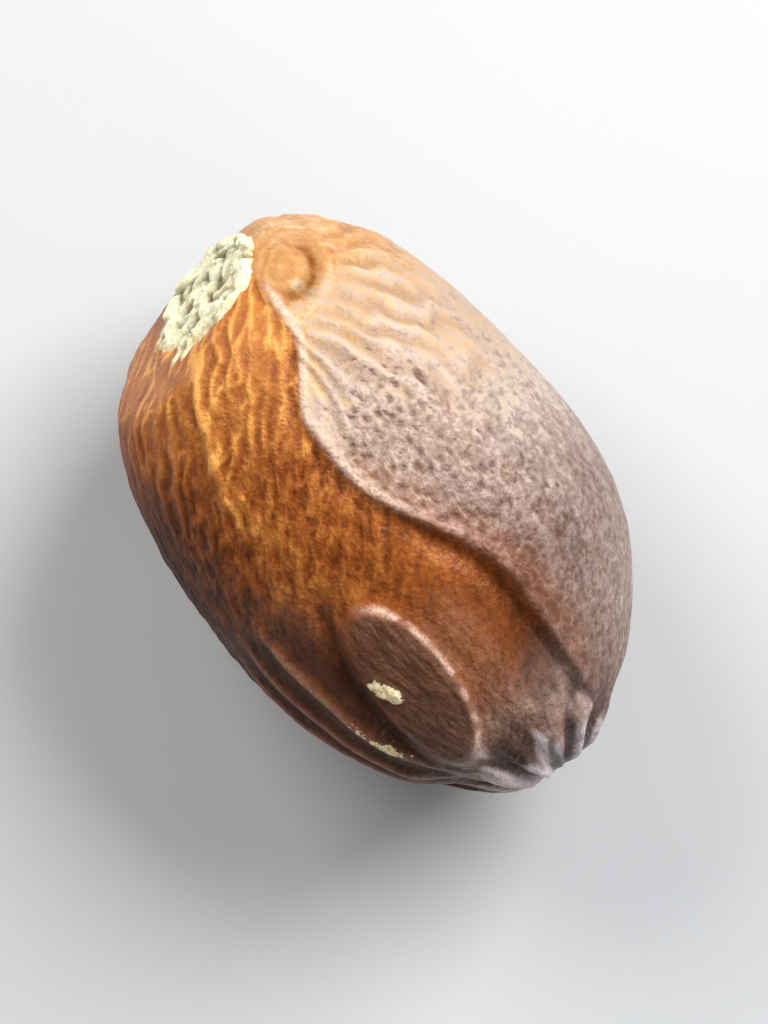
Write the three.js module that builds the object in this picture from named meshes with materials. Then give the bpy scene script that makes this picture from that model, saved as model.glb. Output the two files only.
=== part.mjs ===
// A whole nutmeg: the dried seed in its brown shell, one solid.
//
// Millimetres, +Z up. The nut lies on its side on a small flat spot. +X runs from the base, where the hilum
// is, a pale corky scar, to the apex. The origin is under the middle of the bounding box, on what it lies on.
//
// The body is an egg-like superellipsoid, and its relief is a height along its outward direction: the step
// where a strap of mace lay against the shell, an oval boss with folds below it, a knob and a vein near the
// scar, furrows down the flanks and the back, the raphe, and pleats that gather at the apex. Last, the scar
// is cut flat across the base.
import * as THREE from "three";
import { mergeVertices } from "three/addons/utils/BufferGeometryUtils.js";

// Squares along each side of the cube that is swelled into the nut. It is drawn out along X before the
// swelling, by this much, so that the squares on the flanks and at the poles come out the same size.
const GRID = { x: 36, y: 26, z: 26, stretch: 1.5 };

// The smooth body. Fullness is the exponent of its superellipse: the base is blunt, the apex more pointed.
const BODY = { halfLength: 16.1, halfWidth: 10.55, halfHeight: 9.95, baseFullness: 2.5, apexFullness: 1.78 };
const LEAN = 0.6; // how far each end leans to its own side
const FLAT_SPOT_DEPTH = 0.2; // how much is pressed flat where the nut rests

// Broad, shallow swells of the whole shell: waves in radians per millimetre, each shorter than the last.
const SWELLS = { count: 7, height: 0.1, wave: 0.2, waveStep: 0.06, stretch: 0.6, phaseStep: 2.4 };

// The step along the top. Its line runs at y from the scar, and shifts over twice on its way to the apex.
const STEP_LINE = {
  y: 1.75,
  shifts: [
    { by: -2.1, from: -9.8, to: -5.6 },
    { by: 3.2, from: -3.3, to: 6.6 },
  ],
};
// The shell is higher past the line, most where the step is bold, with a lip on it and a foot groove below.
const STEP = { rise: 0.16, width: 0.7, from: -12, to: 13, fade: 2.3 };
const BOLD = { x: 6.5, reach: 6, extraRise: 0.5 };
const STEP_LIP = { height: 0.1, width: 0.5 };
const STEP_FOOT = { depth: 0.06, boldDepth: 0.14, width: 0.55 };
// The raised side ends in a soft edge far round the flank, at a turn in degrees that wanders.
const STEP_FAR_EDGE = { turn: 100, wander: 6, wave: 0.22, softness: 1.2 };

// An oval boss, with a moat round it that is deeper on the low side.
const BOSS = { x: 7.6, y: -3.95, tilt: 1, halfLength: 4.8, halfWidth: 1.95, height: 0.28, edge: 0.7 };
const MOAT = { away: 0.6, depth: 0.34, width: 0.5, highSideShare: 0.25 };

// Folds below the boss: ridges side by side, each at its turn in degrees, that swerve down beside the boss.
const FOLDS = { turns: [-54, -66, -77], height: 0.36, width: 0.6, swerve: -4, swerveFrom: 5, swerveTo: 10 };
const FOLDED = { from: 3.2, to: 11, fade: 3.5 };

// A knob beside the scar, with a crescent groove round its outer side, and a vein on the other side.
const KNOB = { x: -12.4, y: 3.3, radius: 1.15, height: 0.26, grooveDepth: 0.26, grooveWidth: 0.35 };
const VEIN = { from: -11.8, to: -5.4, fade: 1.5, middleY: -4.3, slope: -0.42, height: 0.15, width: 0.35 };

// Furrows where straps of mace lay: narrow valleys between rounded ridges, from one flank under to the other.
// They wander, each a little differently, and fade towards both poles and where the nut rests. Their second
// limit rises by some degrees on its way to the apex.
const FURROWS = { count: 17, depth: 1, bluntness: 0.07, level: 0.87, fromTurn: 103, toTurn: -99, fade: 8 };
const FURROW_RISE = { turn: 10, from: -6, to: 4 };
const FURROW_WANDER = { turn: 0.12, wave: 0.19, phase: 0.8, ownTurn: 0.08, ownWave: 0.41, ownPhase: 2 };
const FURROW_UNEVENNESS = { share: 0.25, wave: 0.31, phase: 3 };
const FURROW_POLES = { from: 2, to: 6.5 };
const REST = { z: -5, inner: 3.2, outer: 6.9 };

// The raphe: a thin ridge along the flank from the scar to the apex, at a turn in degrees.
const RAPHE = { turn: -104, wander: 5, wave: 0.16, phase: 1, height: 0.26, width: 0.42 };
const RAPHE_STRETCH = { from: -13, to: 12.5, fade: 2.5 };

// The apex: a dimple, and pleats that run into it, close where they begin and spread where they end.
const APEX_POINT = new THREE.Vector3(BODY.halfLength, -0.3, -0.6);
const DIMPLE = { depth: 0.5, radius: 1.2 };
const PLEATS = { count: 13, height: 0.24, reach: 3.4, spread: 2, inner: 0.8, outer: 2.6, crowding: 1.1 };

// The scar: a flat face, slightly dished, with a low rim of shell round it.
const SCAR = { radius: 3.7, rim: 0.16, rimWidth: 0.6, dish: 0.12, softness: 0.22 };
const SCAR_CENTRE = new THREE.Vector3(-13.9, -0.4, 3.8);
const SCAR_FACING = new THREE.Vector3(-1, -0.33, 0.42).normalize();

const GOLDEN_ANGLE = Math.PI * (3 - Math.sqrt(5));
const { degToRad, radToDeg, clamp, lerp, euclideanModulo } = THREE.MathUtils;

// 0 before from, 1 after to, and smooth between them. From may be the larger, for a fall.
function smooth(from, to, value) {
  const t = clamp((value - from) / (to - from), 0, 1);
  return t * t * (3 - 2 * t);
}
const bump = (distance, width) => Math.exp(-((distance / width) ** 2));
const wrapped = (degrees) => euclideanModulo(degrees + 180, 360) - 180;
// 1 from one end of a stretch of the length to the other, and fading to 0 beyond them.
const along = ({ from, to, fade }, x) => smooth(from - fade, from, x) * smooth(to + fade, to, x);

// The smooth body in the direction d from its middle, and its outward direction there.
function bodyAt(d) {
  const fullness = lerp(BODY.baseFullness, BODY.apexFullness, (1 + d.x) / 2);
  const lengthwise = Math.abs(d.x / BODY.halfLength);
  const crosswise = Math.hypot(d.y / BODY.halfWidth, d.z / BODY.halfHeight);
  const reach = (lengthwise ** fullness + crosswise ** fullness) ** (-1 / fullness);
  const crossPull = Math.max(crosswise, 1e-6) ** (fullness - 2);
  const outward = new THREE.Vector3(
    (lengthwise ** (fullness - 1) * Math.sign(d.x)) / BODY.halfLength,
    (crossPull * d.y) / BODY.halfWidth ** 2,
    (crossPull * d.z) / BODY.halfHeight ** 2,
  );
  return { p: d.clone().multiplyScalar(reach), outward: outward.normalize() };
}

// A sum of waves, whose directions follow a golden spiral over the sphere.
function swells(p) {
  let sum = 0;
  for (let k = 1; k <= SWELLS.count; k++) {
    const level = 1 - (2 * k - 1) / SWELLS.count;
    const side = Math.sqrt(1 - level * level);
    const turn = k * GOLDEN_ANGLE;
    const distance = SWELLS.stretch * p.x * level + (p.y * Math.cos(turn) + p.z * Math.sin(turn)) * side;
    sum += Math.sin(distance * (SWELLS.wave + SWELLS.waveStep * k) + SWELLS.phaseStep * k) / Math.sqrt(k);
  }
  return SWELLS.height * sum;
}

function stepLineY(x) {
  return STEP_LINE.shifts.reduce((y, shift) => y + shift.by * smooth(shift.from, shift.to, x), STEP_LINE.y);
}

function step(p, turn, radius) {
  const lineTurn = radToDeg(Math.asin(clamp(stepLineY(p.x) / radius, -1, 1)));
  const past = degToRad(wrapped(turn - lineTurn)) * radius;
  const farTurn = STEP_FAR_EDGE.turn + STEP_FAR_EDGE.wander * Math.sin(STEP_FAR_EDGE.wave * p.x);
  const beforeFarEdge = degToRad(wrapped(farTurn - turn)) * radius;
  const bold = bump(p.x - BOLD.x, BOLD.reach);
  const raised =
    smooth(-STEP.width / 2, STEP.width / 2, past) *
    smooth(-STEP_FAR_EDGE.softness, STEP_FAR_EDGE.softness, beforeFarEdge);
  const lip = STEP_LIP.height * bump(past - STEP_LIP.width, STEP_LIP.width);
  const foot = (STEP_FOOT.depth + STEP_FOOT.boldDepth * bold) * bump(past + STEP_FOOT.width, STEP_FOOT.width);
  return ((STEP.rise + BOLD.extraRise * bold) * raised + lip - foot) * along(STEP, p.x);
}

function boss(p) {
  const tilt = degToRad(BOSS.tilt);
  const dx = p.x - BOSS.x;
  const dy = p.y - BOSS.y;
  const u = (dx * Math.cos(tilt) + dy * Math.sin(tilt)) / BOSS.halfLength;
  const v = (dy * Math.cos(tilt) - dx * Math.sin(tilt)) / BOSS.halfWidth;
  const away = (Math.hypot(u, v) - 1) * BOSS.halfWidth;
  const lowSide = smooth(0.3, -0.9, v);
  const plateau = BOSS.height * smooth(BOSS.edge / 2, -BOSS.edge / 2, away);
  const moat = MOAT.depth * bump(away - MOAT.away, MOAT.width) * lerp(MOAT.highSideShare, 1, lowSide);
  return plateau - moat;
}

function folds(p, turn, radius) {
  const swerve = FOLDS.swerve * smooth(FOLDS.swerveFrom, FOLDS.swerveTo, p.x);
  let ridges = 0;
  for (const foldTurn of FOLDS.turns) {
    ridges += bump(degToRad(turn - foldTurn - swerve) * radius, FOLDS.width);
  }
  return FOLDS.height * ridges * along(FOLDED, p.x);
}

function knob(p) {
  const dx = p.x - KNOB.x;
  const dy = p.y - KNOB.y;
  const away = Math.hypot(dx, dy);
  const outerSide = smooth(-0.3, 0.7, (dx + dy) / Math.max(away, 0.1));
  const groove = bump(away - KNOB.radius - KNOB.grooveWidth, KNOB.grooveWidth) * outerSide;
  return KNOB.height * bump(away, KNOB.radius) - KNOB.grooveDepth * groove;
}

function vein(p) {
  const lineY = VEIN.middleY + VEIN.slope * (p.x - (VEIN.from + VEIN.to) / 2);
  return VEIN.height * bump(p.y - lineY, VEIN.width) * along(VEIN, p.x);
}

function furrows(p, turn, radius) {
  const around = degToRad(turn);
  const together = FURROW_WANDER.turn * Math.sin(FURROW_WANDER.wave * p.x + FURROW_WANDER.phase);
  const ownPhase = FURROW_WANDER.ownPhase * Math.sin(around);
  const own = FURROW_WANDER.ownTurn * Math.sin(FURROW_WANDER.ownWave * p.x + ownPhase);
  const wave = Math.sin((FURROWS.count / 2) * (around + together + own));
  const ridge = (wave * wave + FURROWS.bluntness) ** 0.25 - FURROWS.level;
  const unevenness = Math.sin(FURROW_UNEVENNESS.wave * p.x + FURROW_UNEVENNESS.phase * Math.cos(around));
  const toTurn = FURROWS.toTurn + FURROW_RISE.turn * smooth(FURROW_RISE.from, FURROW_RISE.to, p.x);
  const underneath =
    smooth(FURROWS.fromTurn - FURROWS.fade, FURROWS.fromTurn + FURROWS.fade, turn) +
    smooth(toTurn + FURROWS.fade, toTurn - FURROWS.fade, turn);
  const resting = smooth(0, REST.z, p.z) * smooth(REST.outer, REST.inner, Math.hypot(p.x, p.y));
  const fades = underneath * (1 - resting) * smooth(FURROW_POLES.from, FURROW_POLES.to, radius);
  return FURROWS.depth * ridge * (1 - FURROW_UNEVENNESS.share * (1 - unevenness)) * fades;
}

function raphe(p, turn, radius) {
  const lineTurn = RAPHE.turn + RAPHE.wander * Math.sin(RAPHE.wave * p.x + RAPHE.phase);
  const away = degToRad(wrapped(turn - lineTurn)) * radius;
  return RAPHE.height * bump(away, RAPHE.width) * along(RAPHE_STRETCH, p.x);
}

function apex(p) {
  const away = p.distanceTo(APEX_POINT);
  const around = Math.atan2(p.y - APEX_POINT.y, p.z - APEX_POINT.z);
  const pleat = Math.sin(PLEATS.count * around + PLEATS.crowding * Math.sin(3 * around));
  const band = bump(away - PLEATS.reach, PLEATS.spread) * smooth(PLEATS.inner, PLEATS.outer, away);
  return PLEATS.height * pleat * band - DIMPLE.depth * bump(away, DIMPLE.radius);
}

// Moves a point that lies beyond the scar's face back onto it.
function cutScar(p) {
  const offset = p.clone().sub(SCAR_CENTRE);
  const beyond = offset.dot(SCAR_FACING);
  const away = Math.sqrt(Math.max(offset.lengthSq() - beyond * beyond, 0));
  const rim = SCAR.rim * bump(away - SCAR.radius, SCAR.rimWidth);
  const dish = SCAR.dish * smooth(SCAR.radius, SCAR.radius / 2, away);
  const excess = (beyond - rim + dish) / SCAR.softness;
  p.addScaledVector(SCAR_FACING, -SCAR.softness * Math.log1p(Math.exp(excess)));
}

function nutPoint(d) {
  const { p, outward } = bodyAt(d);
  const turn = radToDeg(Math.atan2(p.y, p.z)); // degrees round the length, 0 at the top and 90 at +Y
  const radius = Math.max(Math.hypot(p.y, p.z), 0.5);
  let height = swells(p) + apex(p) + step(p, turn, radius) + raphe(p, turn, radius);
  height += folds(p, turn, radius) + furrows(p, turn, radius);
  if (p.z > 0) height += boss(p) + knob(p) + vein(p);
  const lean = LEAN * (p.x / BODY.halfLength) ** 3;
  p.addScaledVector(outward, height);
  p.y -= lean;
  cutScar(p);
  return p;
}

// A cube's grid swelled into the nut. Equal angles between the grid's lines keep its squares nearly even.
function nutGeometry() {
  const cube = new THREE.BoxGeometry(2, 2, 2, GRID.x, GRID.y, GRID.z);
  cube.deleteAttribute("normal");
  cube.deleteAttribute("uv");
  const geometry = mergeVertices(cube);
  const places = geometry.attributes.position;
  const direction = new THREE.Vector3();
  for (let i = 0; i < places.count; i++) {
    direction.fromBufferAttribute(places, i).multiplyScalar(Math.PI / 4);
    direction.set(GRID.stretch * Math.tan(direction.x), Math.tan(direction.y), Math.tan(direction.z));
    direction.normalize();
    places.setXYZ(i, ...nutPoint(direction));
  }
  geometry.computeBoundingBox();
  const floor = geometry.boundingBox.min.z + FLAT_SPOT_DEPTH;
  for (let i = 0; i < places.count; i++) places.setZ(i, Math.max(places.getZ(i), floor));
  const middle = geometry.boundingBox.getCenter(new THREE.Vector3());
  geometry.translate(-middle.x, -middle.y, -floor);
  geometry.computeVertexNormals();
  return geometry;
}

const shell = new THREE.MeshStandardMaterial({ color: 0x6b4128, roughness: 0.45, metalness: 0 });
const nutmeg = new THREE.Mesh(nutGeometry(), shell);
nutmeg.name = "nutmeg";

const group = new THREE.Group();
group.add(nutmeg);

export default group;
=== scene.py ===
"""A whole nutmeg in its shell, lying on its side on a pale table.

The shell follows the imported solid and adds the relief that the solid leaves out: the leather of the lobe, the
wrinkles by the scar, the fibres of the flanks. The cork of the scar is a piece of its own. Forms are worked
out in millimetres, +X from the base with the scar to the apex and +Z up, and scaled to metres at the end.
"""
import itertools

import bpy
import numpy as np
from mathutils import Matrix, Vector


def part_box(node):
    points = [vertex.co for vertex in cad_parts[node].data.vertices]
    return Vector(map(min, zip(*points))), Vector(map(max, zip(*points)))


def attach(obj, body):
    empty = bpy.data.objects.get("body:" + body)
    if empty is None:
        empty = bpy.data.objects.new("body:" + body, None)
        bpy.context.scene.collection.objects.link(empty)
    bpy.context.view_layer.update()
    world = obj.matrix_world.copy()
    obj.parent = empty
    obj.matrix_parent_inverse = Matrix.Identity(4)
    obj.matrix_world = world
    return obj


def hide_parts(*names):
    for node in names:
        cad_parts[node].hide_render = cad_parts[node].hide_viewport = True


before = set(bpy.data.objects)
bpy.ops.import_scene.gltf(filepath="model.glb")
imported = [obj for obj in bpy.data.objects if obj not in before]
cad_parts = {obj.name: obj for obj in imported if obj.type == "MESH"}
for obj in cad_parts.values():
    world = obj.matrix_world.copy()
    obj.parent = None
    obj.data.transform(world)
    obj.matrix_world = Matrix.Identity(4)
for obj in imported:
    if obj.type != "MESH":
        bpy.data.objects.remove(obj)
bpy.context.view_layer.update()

MM = 0.001

# ---------------------------------------------------------------- the nut's form, in step with the solid

GRID = (160, 112, 112)
GRID_STRETCH = 1.5
BODY = dict(half_length=16.1, half_width=10.55, half_height=9.95, base_fullness=2.5, apex_fullness=1.78)
LEAN = 0.6
FLAT_SPOT_DEPTH = 0.2
SWELLS = dict(count=7, height=0.1, wave=0.2, wave_step=0.06, stretch=0.6, phase_step=2.4)

STEP_LINE_Y = 1.75
STEP_LINE_SHIFTS = ((-2.1, -9.8, -5.6), (3.2, -3.3, 6.6))  # by, from x, to x
STEP = dict(rise=0.16, width=0.46, start=-12, end=13, fade=2.3)
BOLD = dict(x=6.5, reach=6, extra_rise=0.5, extra_width=1.0)
STEP_LIP = dict(height=0.1, width=0.36)
STEP_FOOT = dict(depth=0.06, bold_depth=0.08, width=0.55)
STEP_FAR_EDGE = dict(turn=100, wander=6, wave=0.22, softness=1.2)

BOSS = dict(x=7.6, y=-3.95, tilt=1, half_length=4.8, half_width=1.95, height=0.28, edge=0.4)
MOAT = dict(away=0.6, depth=0.34, width=0.42, high_side_share=0.25, low_side=(0.3, -0.9))
FOLDS = dict(turns=(-54, -66, -77), height=0.36, width=0.45, swerve=-4, swerve_start=5, swerve_end=10)
FOLDED = dict(start=3.2, end=11, fade=3.5)

KNOB = dict(x=-12.4, y=3.3, radius=1.15, height=0.26, groove_depth=0.26, groove_width=0.28)
KNOB_OUTER_SIDE = (-0.3, 0.7)
VEIN = dict(start=-11.8, end=-5.4, fade=1.5, middle_y=-4.3, slope=-0.42, height=0.15, width=0.24)

FURROWS = dict(count=17, depth=1.0, bluntness=0.03, level=0.86, from_turn=103, to_turn=-99, fade=8)
FURROW_RISE = dict(turn=10, start=-6, end=4)
FURROW_WANDER = dict(turn=0.12, wave=0.19, phase=0.8, own_turn=0.08, own_wave=0.41, own_phase=2)
FURROW_UNEVENNESS = dict(share=0.25, wave=0.31, phase=3)
FURROW_POLES = (1.5, 6)
REST = dict(z=-5, inner=3.2, outer=6.9)

RAPHE = dict(turn=-104, wander=5, wave=0.16, phase=1, height=0.26, width=0.4)
RAPHE_STRETCH = dict(start=-13, end=12.5, fade=2.5)

APEX_POINT = np.array([BODY["half_length"], -0.3, -0.6])
DIMPLE = dict(depth=0.5, radius=1.2)
PLEATS = dict(count=13, height=0.24, reach=3.4, spread=2, inner=0.8, outer=2.6, crowding=1.1)

SCAR = dict(radius=3.7, rim=0.16, rim_width=0.6, dish=0.12, softness=0.22)
SCAR_CENTRE = np.array([-13.9, -0.4, 3.8])
SCAR_FACING = np.array([-1, -0.33, 0.42]) / np.linalg.norm([-1, -0.33, 0.42])

GOLDEN_ANGLE = np.pi * (3 - np.sqrt(5))
UNSEEN = 99  # the distance given to the underside by what lies on the top alone


def smooth(start, end, value):
    """0 before start, 1 after end, and 3t^2 - 2t^3 between them. Start may be the larger, for a fall."""
    t = np.clip((value - start) / (end - start), 0, 1)
    return t * t * (3 - 2 * t)


def bump(distance, width):
    """A bell: e to the minus square of distance over width."""
    return np.exp(-((distance / width) ** 2))


def wrapped(degrees):
    """The same turn, from -180 to 180 degrees."""
    return (degrees + 180) % 360 - 180


def along(stretch, x):
    """1 over a stretch of the length, fading to 0 beyond both its ends."""
    rise = smooth(stretch["start"] - stretch["fade"], stretch["start"], x)
    return rise * smooth(stretch["end"] + stretch["fade"], stretch["end"], x)


def body_at(d):
    """A superellipsoid, its exponent full at the base and lean at the apex, and its outward direction."""
    full = BODY["base_fullness"] + (BODY["apex_fullness"] - BODY["base_fullness"]) * (1 + d[:, 0]) / 2
    lengthwise = np.abs(d[:, 0] / BODY["half_length"])
    crosswise = np.hypot(d[:, 1] / BODY["half_width"], d[:, 2] / BODY["half_height"])
    reach = (lengthwise ** full + crosswise ** full) ** (-1 / full)
    pull = np.maximum(crosswise, 1e-6) ** (full - 2)
    outward = np.stack([
        lengthwise ** (full - 1) * np.sign(d[:, 0]) / BODY["half_length"],
        pull * d[:, 1] / BODY["half_width"] ** 2,
        pull * d[:, 2] / BODY["half_height"] ** 2,
    ], axis=1)
    return d * reach[:, None], outward / np.linalg.norm(outward, axis=1, keepdims=True)


def swells(p):
    """Broad, shallow waves: sines along directions on a golden spiral, each shorter and lower than the last."""
    total = 0
    for k in range(1, SWELLS["count"] + 1):
        level = 1 - (2 * k - 1) / SWELLS["count"]
        side, turn = np.sqrt(1 - level * level), k * GOLDEN_ANGLE
        distance = SWELLS["stretch"] * p[:, 0] * level
        distance = distance + (p[:, 1] * np.cos(turn) + p[:, 2] * np.sin(turn)) * side
        wave = SWELLS["wave"] + SWELLS["wave_step"] * k
        total = total + np.sin(distance * wave + SWELLS["phase_step"] * k) / np.sqrt(k)
    return SWELLS["height"] * total


def step_line_y(x):
    """The step line seen from above: a level shifted by two smooth rises, so that it runs in an S."""
    return STEP_LINE_Y + sum(by * smooth(start, end, x) for by, start, end in STEP_LINE_SHIFTS)


def step_places(p, turn, radius):
    """How far round the shell a point lies past the step line, and before the raised side's far edge."""
    line_turn = np.degrees(np.arcsin(np.clip(step_line_y(p[:, 0]) / radius, -1, 1)))
    far_turn = STEP_FAR_EDGE["turn"] + STEP_FAR_EDGE["wander"] * np.sin(STEP_FAR_EDGE["wave"] * p[:, 0])
    return np.radians(wrapped(turn - line_turn)) * radius, np.radians(wrapped(far_turn - turn)) * radius


def step(p, past, before_far_edge):
    """The shell is higher past the line, by a smooth rise with a lip on it and a foot groove below it."""
    bold = bump(p[:, 0] - BOLD["x"], BOLD["reach"])
    half = STEP["width"] / 2 * (1 + BOLD["extra_width"] * bold)
    soft = STEP_FAR_EDGE["softness"]
    raised = smooth(-half, half, past) * smooth(-soft, soft, before_far_edge)
    lip = STEP_LIP["height"] * bump(past - STEP_LIP["width"], STEP_LIP["width"])
    foot_depth = STEP_FOOT["depth"] + STEP_FOOT["bold_depth"] * bold
    foot = foot_depth * bump(past + STEP_FOOT["width"], STEP_FOOT["width"])
    return ((STEP["rise"] + BOLD["extra_rise"] * bold) * raised + lip - foot) * along(STEP, p[:, 0])


def boss_places(p):
    """How far outside the boss's oval outline each point lies, and how far up across it, -1 to 1 inside."""
    tilt = np.radians(BOSS["tilt"])
    dx, dy = p[:, 0] - BOSS["x"], p[:, 1] - BOSS["y"]
    u = (dx * np.cos(tilt) + dy * np.sin(tilt)) / BOSS["half_length"]
    v = (dy * np.cos(tilt) - dx * np.sin(tilt)) / BOSS["half_width"]
    away = (np.hypot(u, v) - 1) * BOSS["half_width"]
    return np.where(p[:, 2] > 0, away, UNSEEN), v


def boss(away, v):
    """An oval plateau with a moat round it, deeper on the low side."""
    plateau = BOSS["height"] * smooth(BOSS["edge"] / 2, -BOSS["edge"] / 2, away)
    low_side = smooth(*MOAT["low_side"], v)
    share = MOAT["high_side_share"] + (1 - MOAT["high_side_share"]) * low_side
    return plateau - MOAT["depth"] * bump(away - MOAT["away"], MOAT["width"]) * share


def fold_distances(p, turn, radius):
    """How far round the shell each point lies from each fold, which swerve down beside the boss."""
    swerve = FOLDS["swerve"] * smooth(FOLDS["swerve_start"], FOLDS["swerve_end"], p[:, 0])
    return [np.radians(turn - fold_turn - swerve) * radius for fold_turn in FOLDS["turns"]]


def folds(p, distances):
    """A bell across each fold, along one stretch of the length."""
    return FOLDS["height"] * sum(bump(away, FOLDS["width"]) for away in distances) * along(FOLDED, p[:, 0])


def knob_distance(x, y):
    """How far from the knob's middle each place lies, seen from above."""
    return np.hypot(x - KNOB["x"], y - KNOB["y"])


def knob(p):
    """A low round bump, with a crescent groove round its outer side. Returns the relief and the groove."""
    dx, dy = p[:, 0] - KNOB["x"], p[:, 1] - KNOB["y"]
    away, top = knob_distance(p[:, 0], p[:, 1]), p[:, 2] > 0
    outer_side = smooth(*KNOB_OUTER_SIDE, (dx + dy) / np.maximum(away, 0.1))
    groove = bump(away - KNOB["radius"] - KNOB["groove_width"], KNOB["groove_width"]) * outer_side * top
    return KNOB["height"] * bump(away, KNOB["radius"]) * top - KNOB["groove_depth"] * groove, groove


def vein(p):
    """A bell across a straight slanting line below the scar, 0 to 1."""
    line_y = VEIN["middle_y"] + VEIN["slope"] * (p[:, 0] - (VEIN["start"] + VEIN["end"]) / 2)
    return bump(p[:, 1] - line_y, VEIN["width"]) * along(VEIN, p[:, 0]) * (p[:, 2] > 0)


def furrows(p, turn, radius):
    """Rounded ridges between narrow valleys: the root of a sine of the turn round the nut, which wanders.

    Returns the relief, and how much of the furrows there is, 0 to 1.
    """
    around = np.radians(turn)
    together = FURROW_WANDER["turn"] * np.sin(FURROW_WANDER["wave"] * p[:, 0] + FURROW_WANDER["phase"])
    own_phase = FURROW_WANDER["own_phase"] * np.sin(around)
    own = FURROW_WANDER["own_turn"] * np.sin(FURROW_WANDER["own_wave"] * p[:, 0] + own_phase)
    wave = np.sin(FURROWS["count"] / 2 * (around + together + own))
    ridge = (wave * wave + FURROWS["bluntness"]) ** 0.25 - FURROWS["level"]
    unevenness = np.sin(FURROW_UNEVENNESS["wave"] * p[:, 0] + FURROW_UNEVENNESS["phase"] * np.cos(around))
    fade = FURROWS["fade"]
    underneath = smooth(FURROWS["from_turn"] - fade, FURROWS["from_turn"] + fade, turn)
    rise = smooth(FURROW_RISE["start"], FURROW_RISE["end"], p[:, 0])
    to_turn = FURROWS["to_turn"] + FURROW_RISE["turn"] * rise
    underneath = underneath + smooth(to_turn + fade, to_turn - fade, turn)
    resting = smooth(0, REST["z"], p[:, 2]) * smooth(REST["outer"], REST["inner"], np.hypot(p[:, 0], p[:, 1]))
    there = underneath * (1 - resting) * smooth(*FURROW_POLES, radius)
    return FURROWS["depth"] * ridge * (1 - FURROW_UNEVENNESS["share"] * (1 - unevenness)) * there, there


def raphe(p, turn, radius):
    """The seam: a bell across a line that wanders along the low flank from base to apex."""
    line_turn = RAPHE["turn"] + RAPHE["wander"] * np.sin(RAPHE["wave"] * p[:, 0] + RAPHE["phase"])
    away = np.radians(wrapped(turn - line_turn)) * radius
    return RAPHE["height"] * bump(away, RAPHE["width"]) * along(RAPHE_STRETCH, p[:, 0])


def apex(p):
    """A dimple at the tip, and pleats that run into it: a sine of the turn round the tip, in a soft ring.

    Returns the relief, and the pleats alone, -1 to 1.
    """
    q = p - APEX_POINT
    away = np.linalg.norm(q, axis=1)
    around = np.arctan2(q[:, 1], q[:, 2])
    pleat = np.sin(PLEATS["count"] * around + PLEATS["crowding"] * np.sin(3 * around))
    pleat = pleat * bump(away - PLEATS["reach"], PLEATS["spread"])
    pleat = pleat * smooth(PLEATS["inner"], PLEATS["outer"], away)
    return PLEATS["height"] * pleat - DIMPLE["depth"] * bump(away, DIMPLE["radius"]), pleat


def scar_places(p):
    """How far each point lies beyond the scar's plane, and how far from its middle within the plane."""
    q = p - SCAR_CENTRE
    beyond = q @ SCAR_FACING
    return beyond, np.sqrt(np.maximum((q * q).sum(axis=1) - beyond ** 2, 0))


def cut_scar(p):
    """Moves what lies beyond the scar's face back onto it, softly: by the log of 1 plus e to the excess."""
    beyond, away = scar_places(p)
    rim = SCAR["rim"] * bump(away - SCAR["radius"], SCAR["rim_width"])
    dish = SCAR["dish"] * smooth(SCAR["radius"], SCAR["radius"] / 2, away)
    excess = (beyond - rim + dish) / SCAR["softness"]
    return p - SCAR_FACING * (SCAR["softness"] * np.logaddexp(0, excess))[:, None]


# ---------------------------------------------------------------- seeded noise

SEED = dict(
    dents=31, wrinkles=11, branches=14, breaks=12, strokes=21, boss_grain=24, fibres=22, warp=35,
    flow=51, flow_breaks=56, worms=41, pits=42, pit_field=43, chips=71, patches=72, edges=72, worn_fold=75,
    rings=53, cap=54, streaks=81, cork=61, crumbs=62, lumps=67, cork_edge=63, crevices=64, cracks=84,
    tongues=65, tongue_reach=66,
)
NOISE_STRENGTH = 1.6


def lattice(corner, seed):
    """A random number from 0 to 1 at each whole-numbered point, scrambled from its coordinates."""
    x, y, z = (corner[..., i].astype(np.int64).astype(np.uint32) for i in range(3))
    mixed = x * np.uint32(0x8DA6B343) ^ y * np.uint32(0xD8163841) ^ z * np.uint32(0xCB1AB31F)
    mixed = mixed ^ np.uint32(seed * 0x9E3779B1 & 0xFFFFFFFF)
    for shift, factor in ((16, 0x7FEB352D), (15, 0x846CA68B)):
        mixed = (mixed ^ (mixed >> np.uint32(shift))) * np.uint32(factor)
    return (mixed ^ (mixed >> np.uint32(16))) / 2.0 ** 32


def noise(q, seed):
    """Smooth noise, mostly -0.7 to 0.7: random slopes at the lattice's corners, blended over each cube."""
    base = np.floor(q)
    inside = q - base
    fade = inside ** 3 * (inside * (6 * inside - 15) + 10)
    total = 0
    for corner in itertools.product((0, 1), repeat=3):
        corner = np.array(corner)
        slope = np.stack([2 * lattice(base + corner, seed + 1000 * axis) - 1 for axis in range(3)], axis=-1)
        weight = np.prod(np.where(corner, fade, 1 - fade), axis=-1)
        total = total + weight * (slope * (inside - corner)).sum(axis=-1)
    return NOISE_STRENGTH * total


def rough(q, seed, gain=0.5):
    """Noise with noise on it that is twice as fine and weaker by the gain."""
    return noise(q, seed) + gain * noise(2 * q, seed + 1)


def sized(q, kind):
    """Places counted in the size of a kind of relief, so that noise on them has that size."""
    return q / np.array(kind["size"])


def warped(q, reach, seed):
    """Places pushed about by noise, so that what is laid on them wanders."""
    return q + reach * np.stack([noise(q, seed + axis) for axis in range(3)], axis=-1)


def line_distance(q, seed, nudge=0.15, least_slope=1.0):
    """How far each point lies from the nearest line where noise crosses 0: the noise over its slope.

    It is above 0 on one side of the line and below 0 on the other.
    """
    value = noise(q, seed)
    slopes = [(noise(q + nudge * axis, seed) - value) / nudge for axis in np.eye(3)]
    return value / np.maximum(np.sqrt(sum(slope ** 2 for slope in slopes)), least_slope)


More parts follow.
